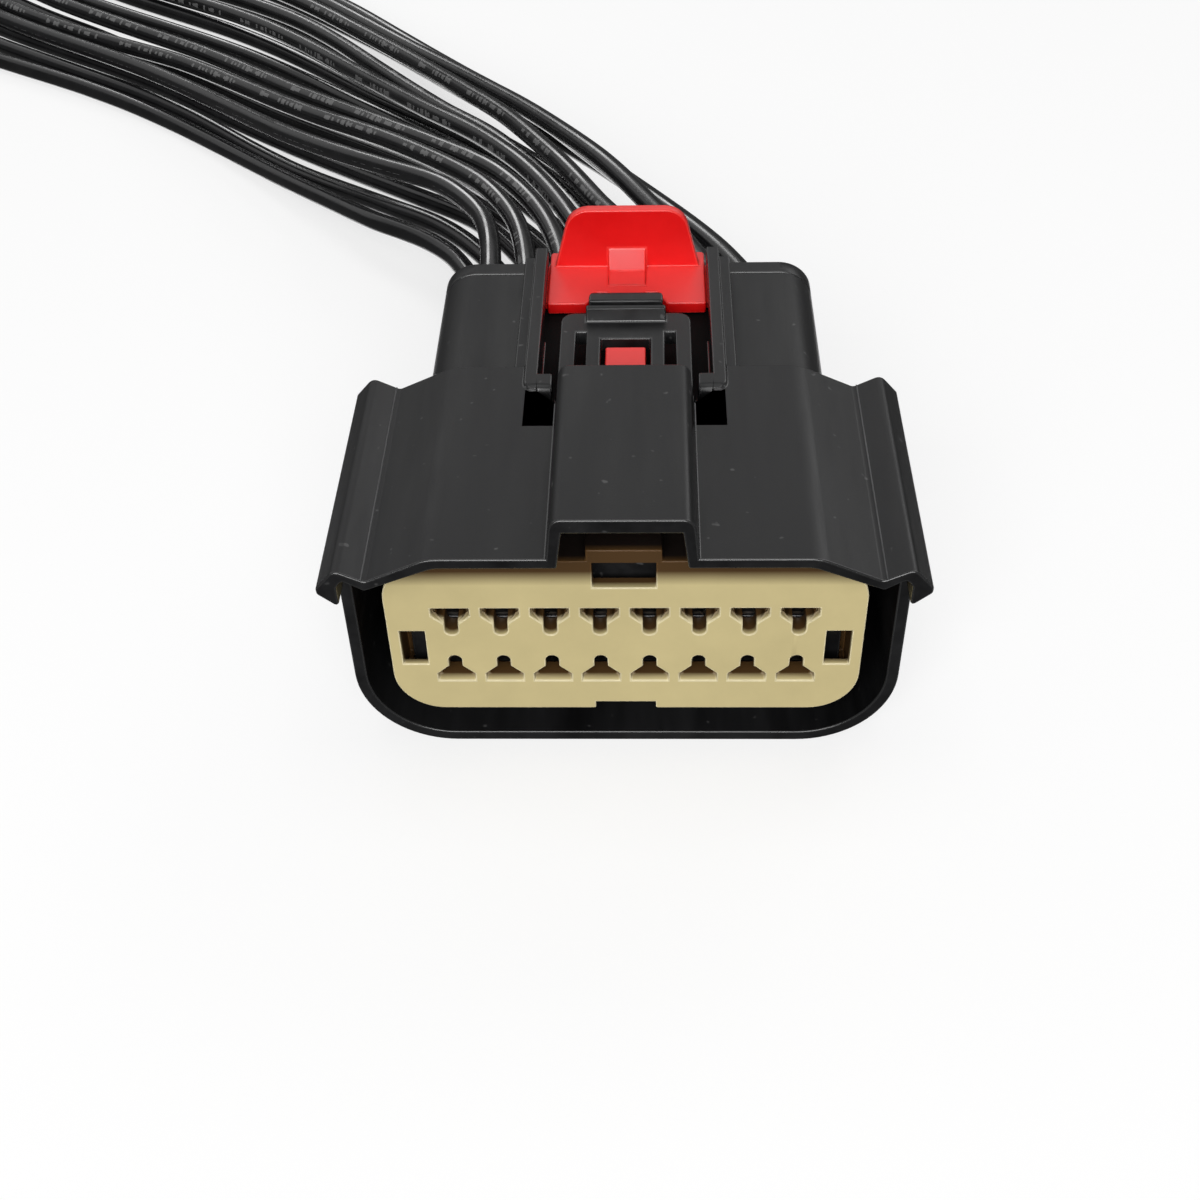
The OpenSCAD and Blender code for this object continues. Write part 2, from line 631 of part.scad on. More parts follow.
// Blade opening of one contact: a funnel with sloping shoulders down to its slot, and a round-ended probe
// slot towards the other row
module blade_opening(k) {
    hw = blade_w / 2;
    slot_hw = hw - lead_in;
    probe_hw = probe_w / 2;
    z0 = blade_rise - blade_h;
    slot_z1 = blade_rise - lead_in;
    slot_z0 = slot_z1 - blade_slot_h;
    shoulder_z0 = slot_z0 - slot_shoulder;
    probe_z = z0 - probe_l + probe_hw;
    translate([contact_x(k), 0, contact_z(k)])
        mirror([0, 0, contact_up(k) > 0 ? 0 : 1]) {
            along_y(face_y - 1, face_y + retainer_plate + 1) {
                translate([-slot_hw, slot_z0]) square([2 * slot_hw, blade_slot_h]);
                polygon([
                    [-probe_hw, probe_z], [probe_hw, probe_z], [probe_hw, shoulder_z0],
                    [slot_hw, slot_z0 + eps], [-slot_hw, slot_z0 + eps], [-probe_hw, shoulder_z0]
                ]);
                translate([0, probe_z]) circle(probe_hw);
            }
            intersection() {
                across_x(blade_w)
                    polygon([
                        [face_y - eps, z0], [face_y - eps, blade_rise],
                        [face_y + funnel_l, slot_z1], [face_y + funnel_l, slot_z0]
                    ]);
                along_y(face_y - 1, face_y + funnel_l + 1)
                    polygon([
                        [-hw, blade_rise], [-hw, blade_rise - blade_side_h], [-probe_hw, z0],
                        [probe_hw, z0], [hw, blade_rise - blade_side_h], [hw, blade_rise]
                    ]);
            }
        }
}

// Tan cap over the tower's front, which holds the contacts in
module front_retainer() {
    plate_y1 = face_y + retainer_plate;
    slot_z0 = mid_z + row_pitch / 2 + slot_sill;
    side_slot_z0 = mid_z - side_slot_drop - side_slot_h / 2;
    color([0.78, 0.72, 0.54])
        difference() {
            union() {
                along_y(face_y, skirt_y) retainer_outline();
                along_y(face_y, skirt_y)
                    translate([-boss_w / 2, retainer_z1 - 1]) square([boss_w, 1 + boss_rise]);
            }
            along_y(plate_y1, skirt_y + 1) retainer_outline(skirt_wall);
            for (k = [1:2 * columns]) blade_opening(k);
            block(centre_slot_w / 2, face_y - 1, plate_y1 + 1, slot_z0, retainer_z1 - slot_lintel);
            block(centre_slot_w / 2, face_y + slot_edge, plate_y1 + 1, slot_z0 - slot_relief, slot_z0 + eps);
            block(centre_slot_w / 2, face_y - 1, plate_y1, retainer_z0 - 1, retainer_z0 + notch_h);
            both_sides()
                translate([retainer_hw - side_slot_in - side_slot_w, face_y, side_slot_z0]) {
                    translate([0, -1, 0]) cube([side_slot_w, retainer_plate + 2, side_slot_h]);
                    translate([0, side_slot_edge, -side_slot_relief])
                        cube([side_slot_w, retainer_plate + 1 - side_slot_edge, side_slot_relief + eps]);
                }
        }
}

// Red lock slide: base with side tongues, thumb plate, gusset and the tongue into the latch window
module lock_slide() {
    z0 = rear_z1 + slide_fit;
    z1 = z0 + slide_t;
    foot = slide_hw - plate_in;
    color([0.85, 0.06, 0.06]) {
        translate([0, 0, z0]) linear_extrude(slide_t) slide_plan();
        both_sides()
            translate([slide_hw - eps, slide_y0 + slide_gap, z0])
                cube([tongue_side - slide_fit + eps, plate_y - slide_y0, tongue_t]);
        along_y(plate_y, plate_y + plate_t)
            polygon(rounded([
                [-foot, z1 - eps, 0], [foot, z1 - eps, 0], [foot - plate_taper, z1 + plate_h, plate_radius],
                [-foot + plate_taper, z1 + plate_h, plate_radius]
            ], 6));
        across_x(gusset_w)
            polygon([
                [plate_y - gusset_l, z1 - eps], [plate_y + eps, z1 - eps], [plate_y + eps, z1 + gusset_h],
                [plate_y - gusset_step_l, z1 + gusset_step_h], [plate_y - gusset_l, z1 + gusset_edge]
            ]);
        slide_tongue(z0, z1);
    }
}

module slide_plan() {
    notch = pad_notch_w / 2;
    back = notch - pad_notch_taper;
    notch_y = slide_y0 + pad_notch_l;
    polygon(rounded([
        [-slide_hw, slide_y1, 0.3], [-slide_hw, slide_y0, 0.2],
        [-notch, slide_y0, 0.3], [-back, notch_y, 0.4], [back, notch_y, 0.4], [notch, slide_y0, 0.3],
        [slide_hw, slide_y0, 0.2], [slide_hw, slide_y1, 0.3]
    ]));
}

// Tongue under the thumb pad, with a nose that stands up in the latch window
module slide_tongue(z0, z1) {
    nose_y0 = nose_y1 - nose_l;
    root_y = slide_y0 + pad_notch_l + 0.5;
    across_x(nose_w)
        polygon(rounded([
            [root_y, z0, 0], [root_y, z1, 0], [nose_y1, z1, 0], [nose_y1 - 0.2, z1 + nose_rise, 0.2],
            [nose_y0 + 1.2, z1 + nose_rise, 0.4], [nose_y0, z0 + 0.3, 0.2], [nose_y0 + 0.3, z0, 0]
        ]));
}

// Soft ring round the tower with three lips, held between the retainer's skirt and the web
module ring_seal() {
    y1 = web_y - fit;
    y0 = y1 - ring_seal_l;
    step = ring_seal_l / 6;
    color([0.16, 0.16, 0.17])
        difference() {
            union() {
                along_y(y0, y1) retainer_outline(tower_inset - fit - ring_seal_t);
                for (i = [0:2])
                    along_y(y0 + (2 * i + 0.5) * step, y0 + (2 * i + 1.5) * step)
                        retainer_outline(tower_inset - fit - ring_seal_t - seal_lip);
            }
            along_y(y0 - 1, y1 + 1) retainer_outline(tower_inset - fit);
        }
}

// Soft block behind the contacts with a bore for each wire and three lips round it
module wire_seal() {
    y0 = pocket_y + fit;
    step = wire_seal_t / 6;
    color([0.3, 0.31, 0.33])
        difference() {
            union() {
                along_y(y0, y0 + wire_seal_t) rear_outline(pocket_wall + fit + seal_lip);
                for (i = [0:2])
                    along_y(y0 + (2 * i + 0.5) * step, y0 + (2 * i + 1.5) * step)
                        rear_outline(pocket_wall + fit);
            }
            for (k = [1:2 * columns]) wire_bore(k, y0, wire_seal_t, wire_d + 2 * seal_fit);
        }
}

module wire_bore(k, y0, l, d) {
    translate([contact_x(k), y0 + l + 1, contact_z(k)])
        rotate([90, 0, 0]) cylinder(d = d, h = l + 2);
}

// Cap that closes the pocket behind the wire seal
module rear_cap() {
    color([0.1, 0.1, 0.1])
        difference() {
            union() {
                along_y(rear_y + fit, cap_y) rear_outline();
                along_y(rear_y - cap_plug, rear_y + fit + eps) rear_outline(pocket_wall + fit);
            }
            for (k = [1:2 * columns])
                wire_bore(k, rear_y - cap_plug, cap_t + cap_plug, wire_d + 2 * wire_fit);
        }
}

// Folded contact k: an open box for the blade, a neck, a crimp on the core and one on the insulation
module terminal(k) {
    neck_y = box_y + box_l;
    crimp_y = neck_y + neck_l;
    color([0.72, 0.72, 0.7])
        translate([contact_x(k), 0, contact_z(k)])
            mirror([0, 0, contact_up(k) > 0 ? 0 : 1])
                difference() {
                    union() {
                        translate([-box_w / 2, box_y, -box_h / 2]) cube([box_w, box_l, box_h]);
                        translate([-neck_w / 2, neck_y - eps, -core_crimp_d / 2])
                            cube([neck_w, neck_l + 2 * eps, core_crimp_d / 2]);
                        translate([0, wire_y + eps, 0])
                            rotate([90, 0, 0]) cylinder(d = core_crimp_d, h = wire_y - crimp_y + 2 * eps);
                        translate([0, wire_y + wire_crimp_l, 0])
                            rotate([90, 0, 0]) cylinder(d = wire_crimp_d, h = wire_crimp_l + 2 * sheet_t);
                    }
                    translate([-box_w / 2 + sheet_t, box_y - 1, -box_h / 2 + sheet_t])
                        cube([box_w - 2 * sheet_t, box_l + 1 - sheet_t, box_h - 2 * sheet_t]);
                    translate([0, wire_y + wire_crimp_l + 1, 0])
                        rotate([90, 0, 0]) cylinder(d = wire_d + 2 * seal_fit, h = wire_crimp_l + 1);
                }
}

// Route of wire k: straight out of its crimp and the cap, round the turn and along the run
function run_point(p) =
    [p[1] * cos(run_angle) - p[0] * sin(run_angle), p[1] * sin(run_angle) + p[0] * cos(run_angle), p[2]];

function route(k) = concat(
    [[contact_x(k), wire_y + fit, contact_z(k)], [contact_x(k), cap_y, contact_z(k)]],
    turns[k - 1],
    [for (p = runs[k - 1]) run_point(p)]
);

// One more point between two of a route's points, on the smooth curve through them
function between(a, b, c, d) = (9 * (b + c) - a - d) / 16;

function smooth(p) =
    let (n = len(p))
    [for (i = [0:n - 1], half = [0, 1])
        if (half == 0 || i < n - 1)
            half == 0 ? p[i] : between(p[max(i - 1, 0)], p[i], p[i + 1], p[min(i + 2, n - 1)])];

function direction(p, i) = unit(p[min(i + 1, len(p) - 1)] - p[max(i - 1, 0)]);

function ring(centre, along) =
    let (side = unit(cross(along, [0, 0, 1])), up = cross(side, along))
    [for (j = [0:wire_sides - 1])
        centre + wire_d / 2 * (cos(360 * j / wire_sides) * side + sin(360 * j / wire_sides) * up)];

// Tube of constant diameter through the points
module tube(points) {
    n = len(points);
    s = wire_sides;
    vertices = [for (i = [0:n - 1]) for (v = ring(points[i], direction(points, i))) v];
    sides = [for (i = [0:n - 2], j = [0:s - 1])
        [i * s + j, (i + 1) * s + j, (i + 1) * s + (j + 1) % s, i * s + (j + 1) % s]];
    polyhedron(vertices, concat(sides, [[for (j = [0:s - 1]) j], [for (j = [s - 1:-1:0]) (n - 1) * s + j]]));
}

module wire(k) {
    color([0.09, 0.09, 0.1]) tube(smooth(route(k)));
}

housing();
front_retainer();
lock_slide();
ring_seal();
wire_seal();
rear_cap();
for (k = [1:2 * columns])
    terminal(k);
for (k = [1:2 * columns])
    wire(k);
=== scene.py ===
# %% [markdown]
# A sealed connector with a short bundle of leads. The solids of the real pieces are packed
# already, so this lesson loads them as a fixed frame and only dresses them: rounder edges,
# finishes, leads, light and a camera.

# %% Load the frame
import math

import bmesh
import bpy
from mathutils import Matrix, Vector


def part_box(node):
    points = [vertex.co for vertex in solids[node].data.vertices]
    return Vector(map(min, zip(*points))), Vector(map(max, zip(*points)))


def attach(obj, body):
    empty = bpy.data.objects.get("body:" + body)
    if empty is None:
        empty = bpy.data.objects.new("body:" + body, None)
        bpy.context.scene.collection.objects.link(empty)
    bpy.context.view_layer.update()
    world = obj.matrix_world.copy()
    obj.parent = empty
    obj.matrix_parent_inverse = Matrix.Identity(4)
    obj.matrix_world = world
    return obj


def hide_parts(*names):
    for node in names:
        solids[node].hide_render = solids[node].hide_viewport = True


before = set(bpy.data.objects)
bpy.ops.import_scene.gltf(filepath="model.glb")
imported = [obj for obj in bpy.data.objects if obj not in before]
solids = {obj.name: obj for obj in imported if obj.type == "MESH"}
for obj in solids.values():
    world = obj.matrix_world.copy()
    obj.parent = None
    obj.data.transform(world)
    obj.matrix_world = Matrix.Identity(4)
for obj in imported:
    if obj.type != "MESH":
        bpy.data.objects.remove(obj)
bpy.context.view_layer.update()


# %% [markdown]
# The camera stands ahead of the mating mouth and above it, and looks down on the hood at about
# 44 degrees. A camera can be aimed with a Track To constraint, but then a small roll is hard to
# give. Here its three axes are worked out from yaw, pitch and roll, and they become the columns
# of its matrix.

# %% Camera
CAMERA_PLACE = Vector((0.00162, -0.09524, 0.0908))
CAMERA_YAW = math.radians(-2.366)
CAMERA_PITCH = math.radians(43.581)
CAMERA_ROLL = math.radians(-1.73)
CAMERA_LENS = 47.925
CAMERA_SENSOR = 36
NEAREST_SEEN = 0.005


def put_in_scene(thing):
    bpy.context.scene.collection.objects.link(thing)
    return thing


def camera_axes(yaw, pitch, roll):
    ahead = Vector((math.sin(yaw) * math.cos(pitch), math.cos(yaw) * math.cos(pitch),
                    -math.sin(pitch)))
    level = Vector((math.cos(yaw), -math.sin(yaw), 0))
    up = level.cross(ahead)
    right = level * math.cos(roll) + up * math.sin(roll)
    return right, up * math.cos(roll) - level * math.sin(roll), -ahead


camera = put_in_scene(bpy.data.objects.new("camera", bpy.data.cameras.new("camera")))
camera.data.lens = CAMERA_LENS
camera.data.sensor_width = CAMERA_SENSOR
camera.data.clip_start = NEAREST_SEEN
bpy.context.scene.camera = camera
turn = camera.matrix_world.to_3x3()
for column, axis in enumerate(camera_axes(CAMERA_YAW, CAMERA_PITCH, CAMERA_ROLL)):
    turn.col[column] = axis
camera.matrix_world = turn.to_4x4()
camera.location = CAMERA_PLACE
print("camera looks", [round(v, 3) for v in -turn.col[2]])

# %% [markdown]
# Each lead is a short length of stranded wire in black insulation. It leaves the rear cap
# straight, bends to the left with the others, sinks under its own weight and lies on the table.
# A lead could be a curve with a bevel depth, but the print on its side needs to know how far
# along the lead it is. So the route's listed points make a line of edges, and Geometry Nodes
# draw the tube along it in a later cell. The points of the turn come first. They are places in
# the part's frame.

# %% Turns of the leads, the upper row first and each row from the left
LEAD_TURNS = [
    [(-0.0125, 0.026, 0.0125), (-0.0128, 0.033, 0.0125),
     (-0.0142, 0.0405, 0.0122), (-0.0186, 0.0478, 0.0115)],
    [(-0.009, 0.026, 0.0125), (-0.0096, 0.033, 0.0125),
     (-0.0111, 0.04, 0.0123), (-0.0149, 0.0477, 0.0118)],
    [(-0.0055, 0.026, 0.0125), (-0.0065, 0.034, 0.0125),
     (-0.009, 0.042, 0.0123), (-0.0136, 0.0504, 0.0116)],
    [(-0.0022, 0.026, 0.0125), (-0.0038, 0.034, 0.0125),
     (-0.0067, 0.0425, 0.0123), (-0.0109, 0.0514, 0.0117)],
    [(0.0012, 0.026, 0.0124), (-0.0013, 0.034, 0.0118),
     (-0.0047, 0.0423, 0.011), (-0.0087, 0.0514, 0.0102)],
    [(0.0046, 0.026, 0.0125), (0.0013, 0.0345, 0.0126),
     (-0.0028, 0.042, 0.0125), (-0.0067, 0.0505, 0.0121)],
    [(0.0082, 0.0265, 0.0125), (0.0054, 0.0345, 0.0125),
     (0.0014, 0.0431, 0.0124), (-0.0033, 0.0526, 0.0119)],
    [(0.0116, 0.026, 0.0124), (0.0084, 0.0346, 0.0119),
     (0.0038, 0.0436, 0.0109), (-0.0016, 0.0535, 0.0096)],
    [(-0.0125, 0.026, 0.0075), (-0.0138, 0.033, 0.0074),
     (-0.0173, 0.0418, 0.0068), (-0.0217, 0.0472, 0.0062)],
    [(-0.009, 0.026, 0.0075), (-0.0104, 0.0335, 0.0073),
     (-0.0147, 0.0422, 0.007), (-0.0193, 0.0487, 0.0063)],
    [(-0.0056, 0.026, 0.0075), (-0.0076, 0.034, 0.0073),
     (-0.0115, 0.0429, 0.0069), (-0.016, 0.0498, 0.0064)],
    [(-0.0021, 0.026, 0.0075), (-0.0042, 0.0345, 0.0072),
     (-0.0087, 0.0437, 0.0068), (-0.0136, 0.0511, 0.0063)],
    [(0.0013, 0.026, 0.0075), (-0.0012, 0.035, 0.0072),
     (-0.006, 0.0448, 0.0068), (-0.0111, 0.0535, 0.0062)],
    [(0.0047, 0.026, 0.0075), (0.0018, 0.0355, 0.0072),
     (-0.0034, 0.046, 0.0068), (-0.0088, 0.055, 0.0062)],
    [(0.0082, 0.026, 0.0075), (0.0048, 0.0365, 0.0072),
     (-0.001, 0.0475, 0.0067), (-0.0061, 0.0563, 0.0062)],
    [(0.0118, 0.026, 0.0075), (0.0088, 0.0365, 0.0072),
     (0.005, 0.0484, 0.0068), (-0.0012, 0.0588, 0.0061)],
]
LEADS = len(LEAD_TURNS)
print("leads:", LEADS, "points in a turn:", len(LEAD_TURNS[0]))

# %% [markdown]
# The points of the run are counted along the bundle, across it and up from the table, which
# keeps neighbours a wire's width apart. All leads share the steps along the bundle, apart from
# the last two, and the leads of a row sink alike. Only a lead that passes under or over another
# has heights of its own.

# %% Runs of the leads
RUN_STEPS = (0.056, 0.066, 0.076, 0.086, 0.096, 0.106, 0.116, 0.126, 0.136)
RUN_ENDS = [
    (0.148, 0.166), (0.147, 0.164), (0.147, 0.163), (0.147, 0.161),
    (0.146, 0.159), (0.146, 0.156), (0.146, 0.155), (0.145, 0.154),
    (0.148, 0.168), (0.147, 0.165), (0.147, 0.163), (0.147, 0.162),
    (0.146, 0.16), (0.146, 0.157), (0.146, 0.155), (0.145, 0.153),
]
RUN_ACROSS = [
    (0.0186, 0.0179, 0.0178, 0.0182, 0.0183, 0.0177, 0.0164, 0.0145, 0.0127, 0.0114, 0.0104),
    (0.0229, 0.0232, 0.0229, 0.0228, 0.0226, 0.0217, 0.0196, 0.0173, 0.0155, 0.0144, 0.0134),
    (0.0252, 0.0255, 0.0257, 0.0257, 0.0257, 0.0251, 0.0238, 0.0221, 0.0204, 0.0193, 0.0183),
    (0.0296, 0.0309, 0.0324, 0.0338, 0.0349, 0.0352, 0.0344, 0.0324, 0.0304, 0.029, 0.0282),
    (0.0318, 0.0334, 0.0353, 0.0372, 0.0389, 0.0397, 0.0391, 0.0374, 0.0357, 0.0345, 0.0336),
    (0.0343, 0.0367, 0.0389, 0.0407, 0.042, 0.0428, 0.0429, 0.0421, 0.0408, 0.0398, 0.039),
    (0.0377, 0.0399, 0.0418, 0.0432, 0.0443, 0.0451, 0.0453, 0.0447, 0.0435, 0.0424, 0.0416),
    (0.0395, 0.0419, 0.0439, 0.0456, 0.0468, 0.0478, 0.0483, 0.0479, 0.0469, 0.0459, 0.0451),
    (0.0157, 0.0161, 0.0164, 0.0164, 0.0158, 0.0143, 0.012, 0.0091, 0.0065, 0.0045, 0.0035),
    (0.0189, 0.0193, 0.019, 0.0188, 0.0182, 0.0168, 0.0145, 0.0121, 0.0099, 0.0083, 0.0073),
    (0.0221, 0.0222, 0.0221, 0.0216, 0.0208, 0.0197, 0.0178, 0.0154, 0.0132, 0.0117, 0.0107),
    (0.026, 0.027, 0.0269, 0.026, 0.025, 0.0239, 0.0226, 0.0212, 0.0193, 0.0179, 0.0167),
    (0.0312, 0.033, 0.0338, 0.0339, 0.0335, 0.0323, 0.0303, 0.0279, 0.0257, 0.0243, 0.0233),
    (0.0334, 0.0353, 0.0362, 0.0365, 0.0366, 0.0359, 0.0344, 0.0321, 0.0299, 0.0285, 0.0276),
    (0.0357, 0.0376, 0.0388, 0.0397, 0.0406, 0.041, 0.0404, 0.039, 0.0374, 0.0364, 0.0356),
    (0.0408, 0.0426, 0.0442, 0.0455, 0.0462, 0.046, 0.0455, 0.0442, 0.0422, 0.041, 0.0402),
]
UPPER_HEIGHTS = (0.0102, 0.0087, 0.0072, 0.0059, 0.0049, 0.0042, 0.0036, 0.0033, 0.0032, 0.0032,
                 0.0032)
LOWER_HEIGHTS = (0.0054, 0.0038, 0.0024, 0.0015, 0.0011, 0.0011, 0.0011, 0.0011, 0.0011, 0.0011,
                 0.0011)
OWN_HEIGHTS = {
    5: (0.009, 0.0076, 0.0063, 0.0052, 0.0043, 0.0036, 0.003, 0.0026, 0.0025, 0.0025, 0.0025),
    7: (0.0096, 0.008, 0.0065, 0.0053, 0.0045, 0.0039, 0.0034, 0.0032, 0.0032, 0.0032, 0.0032),
    8: (0.008, 0.0064, 0.0049, 0.0038, 0.0032, 0.0027, 0.0019, 0.0013, 0.0011, 0.0011, 0.0011),
    10: (0.0053, 0.0032, 0.0018, 0.0011, 0.0011, 0.0011, 0.0011, 0.0011, 0.0011, 0.0011, 0.0011),
}
print("points in a run:", len(RUN_ACROSS[0]), "leads with their own heights:", len(OWN_HEIGHTS))

# %% [markdown]
# The first two points of a line come from the solids: the lead starts in its crimp and leaves
# through the cap. Between the points, each new one lies on a smooth curve through its four
# neighbours: the two near ones count nine each, the far ones minus one each, out of sixteen.
# Three rounds of that are fine enough for a tube.

# %% Smooth lines of the leads
RUN_ANGLE = math.radians(43)
SMOOTHING_ROUNDS = 3
NEAR_WEIGHT = 9
ALL_WEIGHTS = 16


def run_place(along, across, height):
    c, s = math.cos(RUN_ANGLE), math.sin(RUN_ANGLE)
    return Vector((across * c - along * s, across * s + along * c, height))


def run_points(k):
    steps = RUN_STEPS + RUN_ENDS[k - 1]
    row_heights = UPPER_HEIGHTS if k <= LEADS // 2 else LOWER_HEIGHTS
    heights = OWN_HEIGHTS.get(k, row_heights)
    return [run_place(*p) for p in zip(steps, RUN_ACROSS[k - 1], heights)]


def smoother(points):
    last = len(points) - 1
    fine = []
    for i in range(last):
        before, after = points[max(i - 1, 0)], points[min(i + 2, last)]
        near = NEAR_WEIGHT * (points[i] + points[i + 1])
        fine += [points[i], (near - before - after) / ALL_WEIGHTS]
    return fine + [points[last]]


def lead_line(k):
    crimp_low, crimp_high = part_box(f"terminal_{k}")
    exit_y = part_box("rear_cap")[1].y
    start_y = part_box(f"wire_{k}")[0].y
    x, z = (crimp_low.x + crimp_high.x) / 2, (crimp_low.z + crimp_high.z) / 2
    points = [Vector((x, start_y, z)), Vector((x, exit_y, z))]
    points += [Vector(p) for p in LEAD_TURNS[k - 1]]
    points += run_points(k)
    for _ in range(SMOOTHING_ROUNDS):
        points = smoother(points)
    return points


lead_lines = {k: lead_line(k) for k in range(1, LEADS + 1)}

# %% [markdown]
# Small helpers keep the node trees readable, the shader trees and the Geometry Nodes trees
# alike. A socket is fed with a plain value or with another node's output. One helper adds a node
# and feeds its sockets by name, one gives a group its own sockets, one does sums, and one blends
# two colours. The colour sockets of a Mix node share their names with its other kinds, so they
# go by number.

# %% Helpers for node trees
MIX_FIRST, MIX_SECOND, MIX_RESULT = 6, 7, 2


def feed(tree, value, socket):
    if isinstance(value, bpy.types.NodeSocket):
        tree.links.new(value, socket)
    else:
        socket.default_value = value


def add(tree, kind, settings=None, **sockets):
    node = tree.nodes.new(kind)
    for key, value in (settings or {}).items():
        setattr(node, key, value)
    for key, value in sockets.items():
        feed(tree, value, node.inputs[key.replace("_", " ")])
    return node


def group_sockets(tree, way, kind, *names, **values):
    for name in (*names, *values):
        socket = tree.interface.new_socket(name.replace("_", " "), in_out=way,
                                           socket_type="NodeSocket" + kind)
        if name in values:
            socket.default_value = values[name]


def maths(tree, operation, *values):
    node = add(tree, "ShaderNodeMath", {"operation": operation})
    for value, socket in zip(values, node.inputs):
        feed(tree, value, socket)
    return node.outputs[0]


def opaque(colour):
    return (*colour, 1)


def blend(tree, share, first, second, kind="MIX"):
    node = add(tree, "ShaderNodeMix", {"data_type": "RGBA", "blend_type": kind}, Factor=share)
    feed(tree, first, node.inputs[MIX_FIRST])
    feed(tree, second, node.inputs[MIX_SECOND])
    return node.outputs[MIX_RESULT]


# %% [markdown]
# Moulded plastic and rubber are never quite even: the mould's fine spark texture breaks up the
# shine, and the flow in the mould leaves faint dull and shiny patches, stretched along the part
# on the black housing. These effects are on every moulding here, so they are one shader group.
# It reads Object coordinates, which stay put from any side, and gives a height for bump, a
# roughness, a tone that the material multiplies into its colour, and a mask of tiny pale specks
# of dust.

# %% Shared finish of mouldings
PATCH_LOW, PATCH_HIGH = 0.3, 0.7
SPECK_SCALE = 1400.0
SPECK_LOW, SPECK_HIGH = 0.74, 0.8


def moulding_group():
    tree = bpy.data.node_groups.new("Moulded surface", "ShaderNodeTree")
    group_sockets(tree, "INPUT", "Float", Grain_Scale=9000, Patch_Scale=160, Rough_Low=0.35,
                  Rough_High=0.5, Tone_Low=0.9, Tone_High=1.1)
    group_sockets(tree, "INPUT", "Vector", Patch_Stretch=(1, 1, 1))
    group_sockets(tree, "OUTPUT", "Float", "Height", "Roughness", "Tone", "Specks")
    given = add(tree, "NodeGroupInput").outputs
    place = add(tree, "ShaderNodeTexCoord").outputs["Object"]
    grain = add(tree, "ShaderNodeTexNoise", Vector=place, Scale=given["Grain Scale"], Detail=3.0,
                Roughness=0.6)
    speck = add(tree, "ShaderNodeTexNoise", Vector=place, Scale=SPECK_SCALE, Detail=1.0,
                Roughness=0.4)
    specks = add(tree, "ShaderNodeMapRange", Value=speck.outputs["Fac"], From_Min=SPECK_LOW,
                 From_Max=SPECK_HIGH)
    stretched = add(tree, "ShaderNodeVectorMath", {"operation": "MULTIPLY"})
    feed(tree, place, stretched.inputs[0])
    feed(tree, given["Patch Stretch"], stretched.inputs[1])
    patch = add(tree, "ShaderNodeTexNoise", Vector=stretched.outputs[0],
                Scale=given["Patch Scale"], Detail=4.0, Roughness=0.65)
    rough, tone = (
        add(tree, "ShaderNodeMapRange", Value=patch.outputs["Fac"], From_Min=PATCH_LOW,
            From_Max=PATCH_HIGH, To_Min=given[part + " Low"], To_Max=given[part + " High"])
        for part in ("Rough", "Tone"))
    add(tree, "NodeGroupOutput", Height=grain.outputs["Fac"], Roughness=rough.outputs["Result"],
        Tone=tone.outputs["Result"], Specks=specks.outputs["Result"])
    return tree


moulded_surface = moulding_group()
print("shader group:", moulded_surface.name)

# %% [markdown]
# Every material of the part starts alike: the colour and the bump's strength are its own, and
# the group adds the unevenness. A new link to the Base Color can then replace the plain shade.

# %% Start of a material
BUMP_DISTANCE = 0.00003


def shader_sockets(material):
    return material.node_tree.nodes["Principled BSDF"].inputs


def uneven_material(name, colour, bump=0.0, **surface_values):
    material = bpy.data.materials.new(name)
    material.use_nodes = True
    tree, shader = material.node_tree, shader_sockets(material)
    group = {"node_tree": moulded_surface}
    surface = add(tree, "ShaderNodeGroup", group, **surface_values).outputs
    shade = blend(tree, 1.0, opaque(colour), surface["Tone"], "MULTIPLY")
    feed(tree, shade, shader["Base Color"])
    feed(tree, surface["Roughness"], shader["Roughness"])
    if bump:
        relief = add(tree, "ShaderNodeBump", Strength=bump, Distance=BUMP_DISTANCE,
                     Height=surface["Height"])
        feed(tree, relief.outputs["Normal"], shader["Normal"])
    return material, surface, shade


# %% [markdown]
# One function then makes each plastic and rubber. The rounded edges of a piece get a paler,
# shinier sister of its material: the paler colour is a painted highlight, as on a black moulding
# the edges catch the light. The tan plastic gets painted shade: its colour turns brown with the
# distance behind its front face, in the depth of its openings, and near its top, under the hood.
# Where both meet, deep under the bridge, the painted shade is almost black.

# %% Plastics and rubbers
# Painted shade on the tan plastic: it browns with the distance behind its front face and near
# its top.
DEPTH_START = 0.00005
DEPTH_END = 0.0006
SHADE_START = 0.0032
SHADE_END = 0.0019
DARKEST_PAINTED_SHADE = (0.008, 0.005, 0.004)


# Mixes painted shade into the colour, by depth behind the front face and by nearness to the top.
def with_painted_shade(tree, shade, painted_shade_colour):
    face_y, top_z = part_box("front_retainer")[0].y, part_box("front_retainer")[1].z
    place = add(tree, "ShaderNodeTexCoord").outputs["Object"]
    parts = add(tree, "ShaderNodeSeparateXYZ", Vector=place).outputs
    depth = add(tree, "ShaderNodeMapRange", Value=parts["Y"], From_Min=face_y + DEPTH_START,
                From_Max=face_y + DEPTH_END).outputs["Result"]
    under = add(tree, "ShaderNodeMapRange", Value=parts["Z"], From_Min=top_z - SHADE_START,
                From_Max=top_z - SHADE_END).outputs["Result"]
    deep = blend(tree, maths(tree, "MAXIMUM", depth, under), shade, opaque(painted_shade_colour))
    return blend(tree, maths(tree, "MINIMUM", depth, under), deep, opaque(DARKEST_PAINTED_SHADE))


